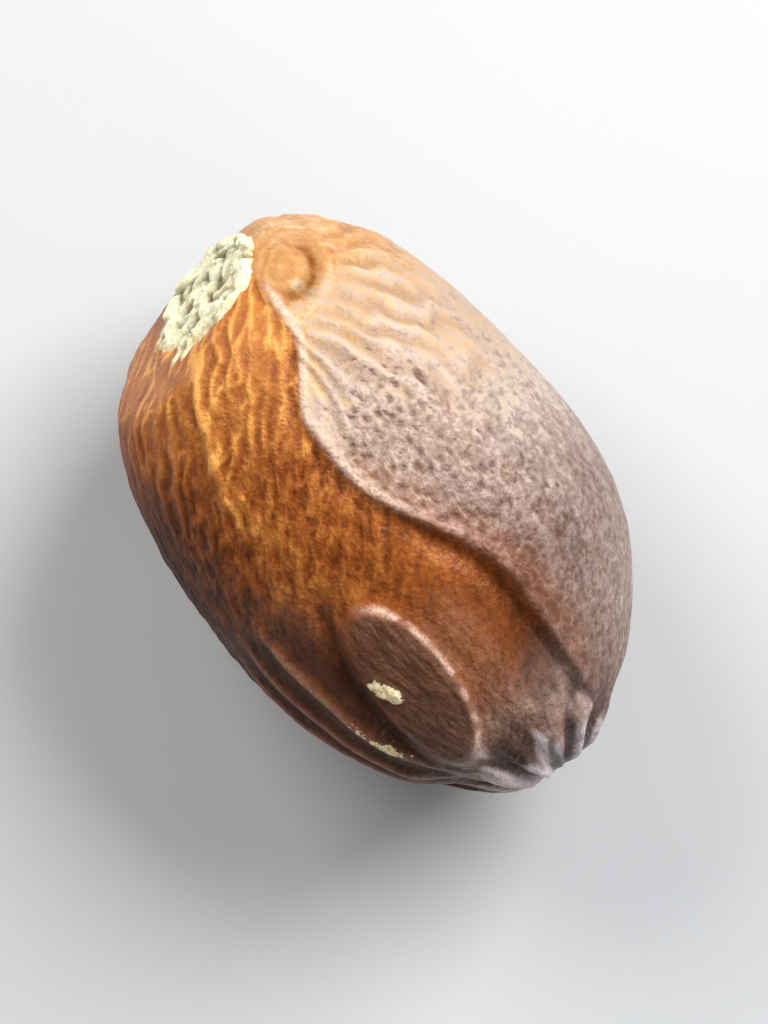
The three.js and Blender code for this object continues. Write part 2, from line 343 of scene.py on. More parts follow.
# ---------------------------------------------------------------- the fine relief of the shell

GRAIN_RADIUS = 9.0
GRAIN_MIDDLE = (13.5, 16.1, 10.3)  # arc length for a radian, half length, half width
GRAIN_BEND = dict(start=-5, end=-14.0, y=-0.4, z=3.8)
STROKE_TURN = 38


def grain_at(p):
    """A point's place in the grain: its arc along the nut, and its turn round an axis that bends to the scar.

    The turn is laid on a circle, so that the grain is closed round the nut. Fibres run to the scar and apex.
    """
    bend = smooth(GRAIN_BEND["start"], GRAIN_BEND["end"], p[:, 0])
    y, z = p[:, 1] - bend * GRAIN_BEND["y"], p[:, 2] - bend * GRAIN_BEND["z"]
    arc, length, width = GRAIN_MIDDLE
    lengthwise = arc * np.arctan2(p[:, 0] / length, np.hypot(y, z) / width)
    turn = np.arctan2(y, z)
    return np.stack([lengthwise, GRAIN_RADIUS * np.sin(turn), GRAIN_RADIUS * np.cos(turn)], axis=1)


def stroke_at(p, arc):
    """Places unrolled from the nut and turned, so that the first runs along the strokes of the low side.

    Arc is how far round the nut from the top each point lies.
    """
    turn = np.radians(STROKE_TURN)
    lengthwise = p[:, 0] * np.cos(turn) - arc * np.sin(turn)
    across = p[:, 0] * np.sin(turn) + arc * np.cos(turn)
    return np.stack([lengthwise, across, np.zeros_like(arc)], axis=1)


UPPER = (122, 100)  # degrees from the top between which the upper side ends
TIPS = dict(apex=(0.6, 3), axis=(0.3, 2))
DENTS = dict(size=3.0, height=0.07)
WRINKLES = dict(spacing=0.86, waver=0.72, waver_size=(2.4, 1.9, 1), height=0.09, depth=0.05, power=4)
WRINKLED = dict(along=(2, -7), low=(-9.4, -7), size=(2.6, 1.4, 1), breaks=(-0.6, 0.2))
BRANCHES = dict(spacing=2.0, slope=0.55, waver=0.6, waver_size=(2.4, 1.6, 1), share=0.8, power=9)
MARKS = dict(crest=1.15, trough=-0.5, stroke=0.9, boss_grain=0.5)
STROKES = dict(size=(1.5, 0.5, 1), warp=0.3, height=0.07)
FIBRES = dict(size=(6, 0.55, 0.55), height=0.05)
CAP_GRAIN = dict(size=(3.0, 0.55, 0.55), gain=0.6, start=-8, full=-11.5, height=0.05)
RINGS = dict(spacing=0.7, waver=0.6, waver_size=(1.3, 1.3, 1), radius=1.2, reach=1.1, height=0.04)
FLOW = dict(x=-13.2, arc=1.2, spacing=0.17, waver=0.6, waver_size=(3.0, 1.8, 1), height=0.1)
FLOW_BREAKS = dict(size=2.6, fade=(-0.4, 0.2))
WORMS = dict(size=(0.78, 0.5, 0.5), warp=0.6, narrowness=2.6, limit=0.45, height=0.05)
APEX_STREAKS = dict(count=5.2, length=4, reach=9, fade=5, strength=1.4, height=0.15)
PITS = dict(size=(0.76, 0.58, 1), warp=0.25, radius=0.27, spread=0.22, chosen=0.85, depth=0.09)
PIT_EDGE = (1.15, 0.45)
PIT_FIELD = dict(start=(-7.8, -5), end=(7, 2), far=(8, 4.5), size=2.2, breaks=(-0.5, -0.1))
GOUGE = dict(x=-4.2, y=5.5, half_length=0.55, half_width=0.2)
GOUGE_CUT = dict(edge=(1.3, 0.5), depth=0.14)
BOSS_GRAIN = dict(size=(1.3, 0.34, 0.34), height=0.03)


def spot(p, x, y, half_length, half_width, tilt=0.0):
    """Distance from a place on the top, counted in the spot's half length and half width."""
    turn = np.radians(tilt)
    dx, dy = p[:, 0] - x, p[:, 1] - y
    u = (dx * np.cos(turn) + dy * np.sin(turn)) / half_length
    v = (dy * np.cos(turn) - dx * np.sin(turn)) / half_width
    return np.where(p[:, 2] > 0, np.hypot(u, v), UNSEEN)


def wavy_lines(across, places, kind, seed):
    """A sine across the lines, a spacing apart, shifted by noise so that they waver and fork."""
    q = places / np.array(kind["waver_size"])
    waver = noise(q, seed) + 0.3 * noise(2.1 * q, seed + 1)
    return np.sin(2 * np.pi * (across / kind["spacing"] + kind["waver"] * waver))


def nearest_dot(q, seed):
    """Distance to the nearest of the dots, one in each square of a lattice, and that dot's own number."""
    base = np.floor(q) * (1, 1, 0)
    nearest, own = np.full(len(q), 9.0), np.zeros(len(q))
    for corner in itertools.product((-1, 0, 1), repeat=2):
        cell = base + np.array([*corner, 0])
        dot = cell + np.stack([lattice(cell, seed), lattice(cell, seed + 1), np.zeros(len(q))], axis=-1)
        distance = np.linalg.norm(q - dot, axis=1)
        own = np.where(distance < nearest, lattice(cell, seed + 2), own)
        nearest = np.minimum(nearest, distance)
    return nearest, own


def apex_streaks(p):
    """Noise on a ring round the tip, drawn out towards the tip, so that its streaks run into the apex."""
    q = p - APEX_POINT
    away, around = np.linalg.norm(q, axis=1), np.arctan2(q[:, 1], q[:, 2])
    count = APEX_STREAKS["count"]
    ring = np.stack([away / APEX_STREAKS["length"], count * np.cos(around), count * np.sin(around)], axis=1)
    fading = smooth(APEX_STREAKS["reach"], APEX_STREAKS["fade"], away)
    return APEX_STREAKS["strength"] * rough(ring, SEED["streaks"]) * fading


def low_side_relief(p, look):
    """Wavy wrinkles by the scar, short strokes past them, and fibres on the furrowed flanks.

    A wrinkle is a high power of a wavering sine, with branches slanting off it. The rest is drawn-out noise.
    """
    x, y = p[:, 0], p[:, 1]
    strokes, grain = look["stroke"], look["grain"]
    low_side, off_boss = 1 - look["lobe"], 1 - look["boss"]
    upper = look["upper"] * low_side
    line = wavy_lines(strokes[:, 1], strokes, WRINKLES, SEED["wrinkles"])
    branch = wavy_lines(strokes @ (BRANCHES["slope"], 1, 0), strokes, BRANCHES, SEED["branches"])
    branch = BRANCHES["share"] * ((1 + branch) / 2) ** BRANCHES["power"]
    crest = np.maximum(((1 + line) / 2) ** WRINKLES["power"], branch)
    trough = ((1 - line) / 2) ** 2 * (1 - crest)
    patchy = smooth(*WRINKLED["breaks"], noise(sized(strokes, WRINKLED), SEED["breaks"]))
    wrinkled = upper * smooth(*WRINKLED["along"], x) * patchy * (0.5 + 0.5 * smooth(*WRINKLED["low"], y))
    stroke = rough(warped(sized(strokes, STROKES), STROKES["warp"], SEED["warp"]), SEED["strokes"])
    stroke = stroke * upper * (0.3 + 0.7 * smooth(6, -1, x)) * (1 - 0.6 * smooth(-2, -7, x)) * off_boss
    fibre = rough(sized(grain, FIBRES), SEED["fibres"])
    boss_grain = noise(sized(grain, BOSS_GRAIN), SEED["boss_grain"]) * look["boss"]
    look["streak"] = apex_streaks(p) * low_side
    look["marks"] = wrinkled * (MARKS["crest"] * crest + MARKS["trough"] * trough)
    look["marks"] = look["marks"] + MARKS["stroke"] * stroke + MARKS["boss_grain"] * boss_grain
    look["fibre"] = fibre * (1 - look["upper"]) * low_side
    height = wrinkled * (WRINKLES["height"] * crest - WRINKLES["depth"] * trough)
    height = height + STROKES["height"] * stroke + BOSS_GRAIN["height"] * boss_grain
    height = height + APEX_STREAKS["height"] * look["streak"] * off_boss
    return height + FIBRES["height"] * fibre * (0.3 + 0.7 * look["furrowed"]) * low_side


def lobe_relief(p, arc, look):
    """Soft waves in a fan from the scar, rings round the knob, worm marks, round pits near the step, a gouge.

    Waves and rings are wavering sines of the turn and the distance. Worm marks lie where noise is near 0, and
    pits round those dots of a jittered lattice whose own number is low enough.
    """
    x, y = p[:, 0], p[:, 1]
    lobe = look["lobe"]
    knob_away = knob_distance(x, y)
    unrolled = np.stack([x, arc, np.zeros_like(x)], axis=1)
    fan = np.arctan2(arc - FLOW["arc"], np.maximum(x - FLOW["x"], 0.1))
    unbroken = 0.45 + 0.55 * smooth(*FLOW_BREAKS["fade"], noise(p / FLOW_BREAKS["size"], SEED["flow_breaks"]))
    flowing = lobe * (0.3 * smooth(13, 8, x) + 0.7 * smooth(-3, -9, x - 0.5 * y)) * smooth(9.8, 7, y)
    flowing = flowing * unbroken * smooth(1.7, 3.6, knob_away) * look["upper"]
    flow = wavy_lines(fan, unrolled, FLOW, SEED["flow"]) * flowing
    ringed = bump(knob_away - RINGS["radius"], RINGS["reach"]) * (p[:, 2] > 0) * lobe
    ring = wavy_lines(knob_away, unrolled, RINGS, SEED["rings"]) * ringed
    worm = noise(warped(sized(p, WORMS), WORMS["warp"], SEED["warp"]), SEED["worms"])
    worm = np.clip(0.5 - np.abs(worm) * WORMS["narrowness"], -WORMS["limit"], WORMS["limit"])
    cap = rough(sized(look["grain"], CAP_GRAIN), SEED["cap"], CAP_GRAIN["gain"]) * lobe
    cap = cap * smooth(CAP_GRAIN["start"], CAP_GRAIN["full"], x)
    field = smooth(*PIT_FIELD["start"], x) * smooth(*PIT_FIELD["end"], x)
    field = field * smooth(*PIT_FIELD["far"], look["past"])
    field = field * (0.4 + 0.6 * smooth(*PIT_FIELD["breaks"], noise(p / PIT_FIELD["size"], SEED["pit_field"])))
    worm = worm * lobe * (0.2 + 0.8 * smooth(-8, -1, x)) * (1 - 0.5 * smooth(6, 9, y)) * (1 - 0.5 * field)
    distance, own = nearest_dot(sized(warped(unrolled, PITS["warp"], SEED["warp"]), PITS), SEED["pits"])
    radius = PITS["radius"] + PITS["spread"] * (own - 0.5)
    pit = smooth(*PIT_EDGE, distance / radius) * lobe * (own < PITS["chosen"] * field)
    gouge = smooth(*GOUGE_CUT["edge"], spot(p, **GOUGE)) * lobe
    look["flow"] = flow + 0.6 * ring + 0.45 * cap
    look["worm"] = worm
    look["pit"] = np.maximum(pit, gouge)
    # Painted highlights: glints on the lobe between its pits.
    look["glint"] = lobe * field * (1 - pit) * smooth(0.3, 0.75, distance)
    height = CAP_GRAIN["height"] * cap + FLOW["height"] * flow + RINGS["height"] * ring + WORMS["height"] * worm
    return height - PITS["depth"] * pit - GOUGE_CUT["depth"] * gouge


def fine_relief(p, look):
    """Dents everywhere and the relief of each side, fading out at the tips."""
    around, radius = np.arctan2(p[:, 1], p[:, 2]), np.hypot(p[:, 1], p[:, 2])
    arc = around * radius
    look["grain"] = grain_at(p)
    look["stroke"] = stroke_at(p, arc)
    look["upper"] = smooth(*UPPER, np.abs(np.degrees(around)))
    height = DENTS["height"] * rough(p / DENTS["size"], SEED["dents"])
    height = height + low_side_relief(p, look) + lobe_relief(p, arc, look)
    tips = smooth(*TIPS["apex"], np.linalg.norm(p - APEX_POINT, axis=1)) * smooth(*TIPS["axis"], radius)
    return height * tips


CHIP = dict(x=6.9, y=-5.15, half_length=1.15, half_width=0.6, tilt=17)
CHIP_LIGHTS = (
    dict(x=6.9, y=-5.15, half_length=0.85, half_width=0.3, tilt=17),
    dict(x=7.25, y=-4.95, half_length=0.42, half_width=0.4, tilt=0),
    dict(x=6.3, y=-5.45, half_length=0.3, half_width=0.2, tilt=60),
)
CHIP_EDGE = dict(size=0.5, ragged=0.5, light_ragged=0.4, fade=(1.3, 0.7), light_fade=(1.35, 0.6))
CHIP_HEIGHT = 0.07


def chips(p, look):
    """A worn spot and the light bits in it: faded by the distance from each, which noise makes ragged."""
    ragged = rough(p / CHIP_EDGE["size"], SEED["chips"])
    look["chip"] = smooth(*CHIP_EDGE["fade"], spot(p, **CHIP) + CHIP_EDGE["ragged"] * ragged)
    light_ragged = CHIP_EDGE["light_ragged"] * ragged
    lights = (smooth(*CHIP_EDGE["light_fade"], spot(p, **light) + light_ragged) for light in CHIP_LIGHTS)
    look["chip_light"] = sum(lights)
    return CHIP_HEIGHT * look["chip_light"]


def nut_form(direction, fine=True):
    """The nut in each direction from its middle: the swelled body, its relief, the lean and the cut scar.

    Returns the places in millimetres, and what the finish needs to know of them.
    """
    p, outward = body_at(direction)
    turn = np.degrees(np.arctan2(p[:, 1], p[:, 2]))
    radius = np.maximum(np.hypot(p[:, 1], p[:, 2]), 0.5)
    past, before_far_edge = step_places(p, turn, radius)
    boss_away, boss_v = boss_places(p)
    fold_away = fold_distances(p, turn, radius)
    furrow_relief, furrowed = furrows(p, turn, radius)
    apex_relief, pleat = apex(p)
    knob_relief, knob_groove = knob(p)
    height = swells(p) + apex_relief + step(p, past, before_far_edge) + raphe(p, turn, radius)
    height = height + folds(p, fold_away) + furrow_relief + boss(boss_away, boss_v) + knob_relief
    veined = vein(p)
    height = height + VEIN["height"] * veined
    look = dict(
        furrowed=furrowed, pleat=pleat, past=past, boss_away=boss_away, boss_v=boss_v, fold_away=fold_away,
        knob_groove=knob_groove, vein=veined,
    )
    look["lobe"] = smooth(-0.1, 0.14, past) * smooth(-1.5, 1.5, before_far_edge)
    look["boss"] = smooth(0.15, -0.3, boss_away)
    if fine:
        height = height + fine_relief(p, look) + chips(p, look)
    place = p + outward * height[:, None]
    place[:, 1] -= LEAN * (p[:, 0] / BODY["half_length"]) ** 3
    return cut_scar(place), look


# ---------------------------------------------------------------- meshes

# of each side of the cube: the axes along it, across it and out of it, and which way it faces
CUBE_SIDES = ((1, 2, 0, 1), (2, 1, 0, -1), (2, 0, 1, 1), (0, 2, 1, -1), (0, 1, 2, 1), (1, 0, 2, -1))


def cube_grid(counts, stretch):
    """Directions on a cube's grid at equal angles, with its seams merged, and its squares, facing outwards."""
    lines = [np.tan(np.linspace(-1, 1, n + 1) * np.pi / 4) for n in counts]
    places, squares, first = [], [], 0
    for u, v, fixed, side in CUBE_SIDES:
        a, b = np.meshgrid(lines[u], lines[v], indexing="ij")
        place = np.empty(a.shape + (3,))
        place[..., u], place[..., v], place[..., fixed] = a, b, side
        index = np.arange(a.size).reshape(a.shape) + first
        corners = (index[:-1, :-1], index[1:, :-1], index[1:, 1:], index[:-1, 1:])
        places.append(place.reshape(-1, 3))
        squares.append(np.stack(corners, axis=-1).reshape(-1, 4))
        first += a.size
    places, squares = np.concatenate(places), np.concatenate(squares)
    keys = np.round(places * 1e6).astype(np.int64)
    _, kept, merged = np.unique(keys, axis=0, return_index=True, return_inverse=True)
    places = places[kept] * np.array([stretch, 1, 1])
    return places / np.linalg.norm(places, axis=1, keepdims=True), merged.reshape(-1)[squares]


def hollowness(places, squares):
    """How far each vertex lies under the mean of its neighbours, in millimetres: above 0 in a hollow."""
    corners = [squares[:, k] for k in range(4)]
    starts = np.concatenate(corners * 2)
    ends = np.concatenate(corners[1:] + corners[:1] + corners[-1:] + corners[:-1])
    count = np.bincount(starts, minlength=len(places))
    mean = np.stack([np.bincount(starts, places[ends, i], len(places)) / count for i in range(3)], axis=1)
    across = np.cross(*(places[corners[k + 2]] - places[corners[k]] for k in (0, 1)))
    normal = np.zeros_like(places)
    for corner, i in itertools.product(corners, range(3)):
        normal[:, i] += np.bincount(corner, across[:, i], len(places))
    normal /= np.linalg.norm(normal, axis=1, keepdims=True)
    return ((mean - places) * normal).sum(axis=1)


def make_piece(name, places, faces, attributes, material):
    """A mesh from places in millimetres, with its attributes and material, riding on the root body."""
    mesh = bpy.data.meshes.new(name)
    mesh.from_pydata((places * MM).tolist(), [], [face.tolist() for face in faces])
    mesh.polygons.foreach_set("use_smooth", np.ones(len(mesh.polygons), dtype=bool))
    for key, values in attributes.items():
        vector = values.ndim == 2
        attribute = mesh.attributes.new(key, "FLOAT_VECTOR" if vector else "FLOAT", "POINT")
        attribute.data.foreach_set("vector" if vector else "value", values.astype(np.float32).ravel())
    mesh.materials.append(material)
    mesh.update()
    piece = bpy.data.objects.new(name, mesh)
    bpy.context.scene.collection.objects.link(piece)
    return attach(piece, "root")


# ---------------------------------------------------------------- finishes

def srgb(red, green, blue):
    """A colour from 0 to 255 as the eye reads it, as the linear colour that a shader takes."""
    part = np.array([red, green, blue]) / 255
    linear = np.where(part <= 0.04045, part / 12.92, ((part + 0.055) / 1.055) ** 2.4)
    return (*linear.tolist(), 1.0)


class Finish:
    """A material's node graph. Each method adds a node and returns its output."""

    def __init__(self, name):
        self.material = bpy.data.materials.new(name)
        self.material.use_nodes = True
        self.nodes = self.material.node_tree.nodes
        self.links = self.material.node_tree.links
        self.shader = self.nodes["Principled BSDF"]

    def feed(self, socket, value):
        if isinstance(value, bpy.types.NodeSocket):
            self.links.new(value, socket)
        else:
            socket.default_value = value

    def add(self, kind, inputs, **settings):
        node = self.nodes.new(kind)
        for key, value in settings.items():
            setattr(node, key, value)
        for key, value in inputs.items():
            self.feed(node.inputs[key], value)
        return node

    def mask(self, name):
        return self.add("ShaderNodeAttribute", {}, attribute_name=name).outputs["Fac"]

    def place(self, name, stretch):
        """A stretched place in the grain or the strokes, in millimetres."""
        vector = self.add("ShaderNodeAttribute", {}, attribute_name=name).outputs["Vector"]
        return self.vector("MULTIPLY", vector, stretch)

    def object_place(self, scale=1000):
        """A place on the object, in millimetres unless the scale says otherwise."""
        vector = self.add("ShaderNodeTexCoord", {}).outputs["Object"]
        return self.vector("MULTIPLY", vector, (scale,) * 3)

    def noise(self, vector, scale=1.0, detail=2.0, roughness=0.5, distortion=0.0):
        inputs = {"Vector": vector, "Scale": scale, "Detail": detail, "Roughness": roughness}
        return self.add("ShaderNodeTexNoise", {**inputs, "Distortion": distortion}).outputs["Fac"]

    def lines(self, vector, scale, thinness):
        """1 on the wavering lines where a noise is at its middle, falling to 0 beside them."""
        away = self.math("ABSOLUTE", self.math("SUBTRACT", self.noise(vector, scale, 1.0, 0.5, 0.6), 0.5))
        return self.fit(away, 0.0, thinness, 1.0, 0.0)

    def math(self, operation, a, b=0.0):
        return self.add("ShaderNodeMath", {0: a, 1: b}, operation=operation).outputs[0]

    def vector(self, operation, *values):
        return self.add("ShaderNodeVectorMath", dict(enumerate(values)), operation=operation).outputs[0]

    def fit(self, value, low, high, new_low=0.0, new_high=1.0, curve="SMOOTHSTEP"):
        """The value's range from low to high moved to a new range, held at its ends."""
        inputs = {"Value": value, "From Min": low, "From Max": high, "To Min": new_low, "To Max": new_high}
        return self.add("ShaderNodeMapRange", inputs, interpolation_type=curve, clamp=True).outputs["Result"]

    def swing(self, part, reach):
        """A noise round its middle as a change from minus the reach to the reach."""
        return self.fit(part, 0.3, 0.7, -reach, reach, "LINEAR")

    def varied(self, value, *parts):
        for part, reach in parts:
            value = self.math("ADD", value, self.swing(part, reach))
        return value

    def tint(self, colour, name, change):
        """The colour times 1 plus the mask's share of a change in red, green and blue."""
        return self.vector("MULTIPLY", colour, self.vector("MULTIPLY_ADD", self.mask(name), change, (1, 1, 1)))

    def ramp(self, value, stops):
        node = self.add("ShaderNodeValToRGB", {"Fac": value})
        ramp = node.color_ramp
        while len(ramp.elements) < len(stops):
            ramp.elements.new(0.5)
        for element, (place, colour) in zip(ramp.elements, stops):
            element.position, element.color = place, colour
        return node.outputs["Color"]

    def mix(self, share, a, b):
        node = self.add("ShaderNodeMix", {}, data_type="RGBA")
        for index, value in ((0, share), (6, a), (7, b)):
            self.feed(node.inputs[index], value)
        return node.outputs[2]

    def marked(self, colour, name, strength, other):
        """The colour with another laid on it, by a mask times its strength."""
        return self.mix(self.math("MULTIPLY", self.mask(name), strength), colour, other)

    def bump(self, height, depth, normal=None):
        """Relief of this depth in millimetres for a height from 0 to 1."""
        node = self.add("ShaderNodeBump", {"Height": height, "Distance": depth * MM, "Strength": 1.0})
        if normal is not None:
            self.feed(node.inputs["Normal"], normal)
        return node.outputs["Normal"]

    def set(self, **values):
        for key, value in values.items():
            self.feed(self.shader.inputs[key.replace("_", " ")], value)


DARK = srgb(38, 17, 7)
BROWN = srgb(94, 45, 13)
RUST = srgb(144, 75, 29)
AMBER = srgb(184, 112, 50)
GOLD = srgb(229, 160, 80)
BROWN_COLOURS = ((0.0, DARK), (0.28, BROWN), (0.54, RUST), (0.8, AMBER), (1.0, GOLD))
LOBE_COLOURS = (
    (0.0, srgb(72, 44, 40)), (0.3, srgb(110, 83, 74)), (0.54, srgb(152, 127, 114)), (0.66, srgb(182, 157, 141)),
    (0.84, srgb(196, 160, 120)), (1.0, srgb(186, 132, 78)),
)
PALER = (0.2, 0.27, 0.36)  # what a mark's shade adds to red, green and blue
COOLER = (0.02, 0.1, 0.16)  # and what the cool mask adds
BOSS_DARK = srgb(76, 50, 38)
BOSS_LIGHT = srgb(124, 87, 70)
# Painted shade in hollows, creases and the moat.
CREASE_SHADE = srgb(40, 18, 6)
PIT = srgb(104, 70, 62)
# Painted highlight: the colour of small glints between the lobe's pits.
PAINTED_GLINT = srgb(234, 218, 210)
# Painted highlight on edges that catch the light.
RIM_HIGHLIGHT = srgb(232, 196, 174)
# Painted sheen: a whitish reflection on the apex's pleats and streaks.
PAINTED_SHEEN = srgb(206, 195, 201)
CORK = srgb(252, 248, 222)
CORK_SHADE = srgb(226, 216, 164)
CORK_RIM = srgb(222, 190, 128)
# Crevices of the cork: partly its own colour, partly painted shade.
CREVICE = srgb(92, 80, 38)
CHIP_SHADE = srgb(112, 76, 52)
CHIP_PALE = srgb(255, 240, 198)
WARM_SHINE = (1.0, 0.8, 0.68, 1.0)


def shell_finish():
    """Satin shell: browns by the tone and the strokes, the lobe mauve to peach, and marks on top of them, among
    them painted glints, painted sheen, painted shade in creases and painted highlights on edges.
    """
    f = Finish("shell")
    long_streak = f.noise(f.place("grain", (0.16, 0.9, 0.9)), 1.0, 3.0, 0.55)
    grain_streak = f.noise(f.place("grain", (0.9, 3.6, 3.6)), 1.0, 3.0, 0.6)
    stroke = f.noise(f.place("stroke", (1.0, 2.0, 1.0)), 1.0, 1.0, 0.5, 1.0)
    stroke_line = f.lines(f.place("stroke", (0.5, 1.5, 1.0)), 0.9, 0.14)
    mottle = f.noise(f.object_place(), 1.3, 3.0, 0.6)
    fleck = f.noise(f.object_place(), 2.6, 2.0, 0.5)
    speck = f.noise(f.object_place(), 5.5, 2.0, 0.6)
    worm_line = f.lines(f.object_place(), 1.5, 0.1)

    lively, below = f.mask("lively"), f.math("SUBTRACT", 1.0, f.mask("upper"))
    strokes = f.varied(f.math("MULTIPLY", stroke_line, 0.14), (stroke, 0.14))
    tone = f.varied(f.mask("tone"), (long_streak, 0.05), (mottle, 0.05), (speck, 0.03))
    tone = f.math("ADD", tone, f.math("MULTIPLY", strokes, lively))
    tone = f.math("ADD", tone, f.math("MULTIPLY", f.swing(grain_streak, 0.12), below))
    peach = f.varied(f.mask("peach"), (long_streak, 0.07), (mottle, 0.06), (fleck, 0.07), (speck, 0.03))
    peach = f.math("ADD", peach, f.math("MULTIPLY", worm_line, 0.05))
    colour = f.mix(f.mask("lobe"), f.ramp(tone, BROWN_COLOURS), f.ramp(peach, LOBE_COLOURS))
    colour = f.tint(f.tint(colour, "shade", PALER), "cool", COOLER)
    # Painted glints between the lobe's pits.
    colour = f.marked(colour, "glint", f.fit(fleck, 0.45, 0.62, 0.0, 0.2), PAINTED_GLINT)
    # Painted sheen at the apex.
    colour = f.mix(f.mask("sheen"), colour, PAINTED_SHEEN)
    colour = f.marked(colour, "pit", 0.88, PIT)
    colour = f.marked(colour, "boss", 0.85, f.mix(f.fit(grain_streak, 0.32, 0.68), BOSS_DARK, BOSS_LIGHT))
    # Painted shade in hollows and creases.
    colour = f.marked(colour, "crease_shade", 0.78, CREASE_SHADE)
    # Painted highlights along edges that catch the light.
    colour = f.marked(colour, "rim", f.fit(speck, 0.3, 0.6, 0.35, 0.95), RIM_HIGHLIGHT)
    chip, chip_light = (
        f.fit(f.varied(f.mask(name), (speck, 0.28), (fleck, 0.16)), 0.46, 0.6)
        for name in ("chip", "chip_light")
    )
    chip_colour = f.mix(f.fit(speck, 0.36, 0.56), CORK_RIM, CHIP_PALE)
    colour = f.mix(chip, colour, f.mix(chip_light, CHIP_SHADE, chip_colour))
    normal = f.bump(f.math("MULTIPLY", grain_streak, below), 0.04)
    normal = f.bump(f.math("MULTIPLY", stroke, lively), 0.06, normal)
    normal = f.bump(f.noise(f.object_place(), 3.2, 2.0, 0.5), 0.10, normal)
    f.set(Base_Color=colour, Roughness=f.varied(f.mask("satin"), (speck, 0.08)), Normal=normal)
    f.set(Specular_IOR_Level=0.27, Specular_Tint=WARM_SHINE)
    return f.material


def cork_finish():
    """Dry cream cork, darker and greener in its crevices: partly the cork's own colour, partly painted shade.
    """
    f = Finish("scar_cork")
    crumb = f.noise(f.object_place(), 4.5, 4.0, 0.65)
    patch = f.noise(f.object_place(), 0.9, 2.0, 0.5)
    cream = f.mix(f.fit(crumb, 0.35, 0.62), CORK_SHADE, CORK)
    cream = f.mix(f.fit(patch, 0.5, 0.72, 0.0, 0.5), cream, CORK_SHADE)
    cream = f.marked(cream, "edge", f.fit(crumb, 0.4, 0.6, 0.9, 0.3), CORK_RIM)
    # Crevices darker and greener: partly the cork's own colour, partly painted shade.
    colour = f.marked(cream, "crevice", f.fit(patch, 0.3, 0.6, 1.0, 0.85), CREVICE)
    normal = f.bump(f.noise(f.object_place(), 8.0, 3.0, 0.65), 0.05)
    f.set(Base_Color=colour, Roughness=0.92, Normal=normal)
    return f.material


# ---------------------------------------------------------------- the shell

PATCH_SIZE = 4.5
EDGE_PATCHES = dict(size=0.8, fade=(-0.25, 0.2))
FOLD_CREST_WIDTH = 0.4
FOLD_RIM_WIDTH = 0.17
WORN_FOLD = dict(start=7.5, end=10.2, fade=0.6, strength=1.5, middle=0.05, width=0.26, grain_size=0.35)


class Nut:
    """What is known of each vertex, by name: its place, the relief there, and soft regions from 0 to 1."""

    def __init__(self, places, squares, look):
        for name, value in look.items():
            setattr(self, name, value)
        x, y, z = self.x, self.y, self.z = places.T
        self.top = z > 0
        self.hollow = hollowness(places, squares)
        self.patches = noise(places / PATCH_SIZE, SEED["patches"])
        self.ragged = smooth(*EDGE_PATCHES["fade"], noise(places / EDGE_PATCHES["size"], SEED["edges"]))
        self.worn_grain = noise(places / WORN_FOLD["grain_size"], SEED["worn_fold"])
        self.knob_away = knob_distance(x, y)
        self.scar_away = scar_places(places)[1]
        self.crests = sum(bump(away, FOLD_CREST_WIDTH) for away in self.fold_away)
        self.fold_stretch = along(FOLDED, x)
        self.under = smooth(1.5, -4, z)
        self.bold = smooth(-2, 1.5, x)
        self.beside_boss = bump(x - 2.6, 2.4) * bump(y + 7, 1.5) * self.top
        self.above_boss = smooth(3.5, 6.5, x) * smooth(-3.5, -1.5, y) * smooth(1.4, -0.4, y) * self.top
        folded = smooth(-2.5, 6.5, x + 3 * self.patches) * smooth(14.5, 11, x)
        self.mauve_folds = folded * smooth(-5.8, -6.8, y) * smooth(-4, -1, z)


# Each mask below is a sum of terms: an amount times the soft places where it holds, in millimetres.

def tone_mask(nut):
    """Browns, 0 dark to 1 golden: golden by the scar, darker to the apex. Darker on the low flank and at the
    step's foot as painted shade.

    Crests of the folds are lighter as painted highlight, with painted shade between them. Wrinkles, streaks and
    the vein are lighter. The underside has its own level.
    """
    x, y, under = nut.x, nut.y, nut.under
    tone = 0.52 + 0.21 * smooth(-4, -11, x) - 0.05 * bump(x - 1, 3)
    tone = tone - 0.08 * smooth(8, 11, x) - 0.22 * smooth(10.5, 14, x)
    # Painted shade: the first term darkens towards the low flank.
    tone = tone - 0.42 * smooth(-5, -10, y) - 0.2 * smooth(7.5, 11, x) * smooth(-3.5, -5.5, y)
    # Painted shade along the foot of the step.
    tone = tone - 0.27 * bump(nut.past + 0.8, 1.3) * smooth(3, 8, x)
    tone = tone + 0.15 * bump(x + 1.5, 3.4) * bump(y + 6.3, 2.2)
    # Fold crests lighter and the folds' valleys darker: painted highlight and painted shade.
    tone = tone + nut.fold_stretch * smooth(-5.6, -6.4, y) * (0.46 * nut.crests - 0.12)
    underside = 0.32 + 0.24 * nut.patches + 0.1 * smooth(-7, -13, x) - 0.16 * smooth(8, 13, x)
    tone = tone + under * (underside - tone)
    tone = tone + 0.1 * bump(x - 4.5, 2.8) * bump(y + 8, 1.5) - 0.03 * bump(x - 1.5, 1.8) * smooth(-3.5, -2, y)
    tone = tone - 0.06 * bump(x + 3, 2.5) * bump(y + 2.6, 2)
    tone = tone + 0.24 * nut.marks + 0.06 * nut.fibre + 0.07 * nut.patches + 0.25 * nut.vein
    return tone + (0.45 - 0.3 * under) * nut.streak + 0.05 * nut.beside_boss + 0.07 * nut.above_boss


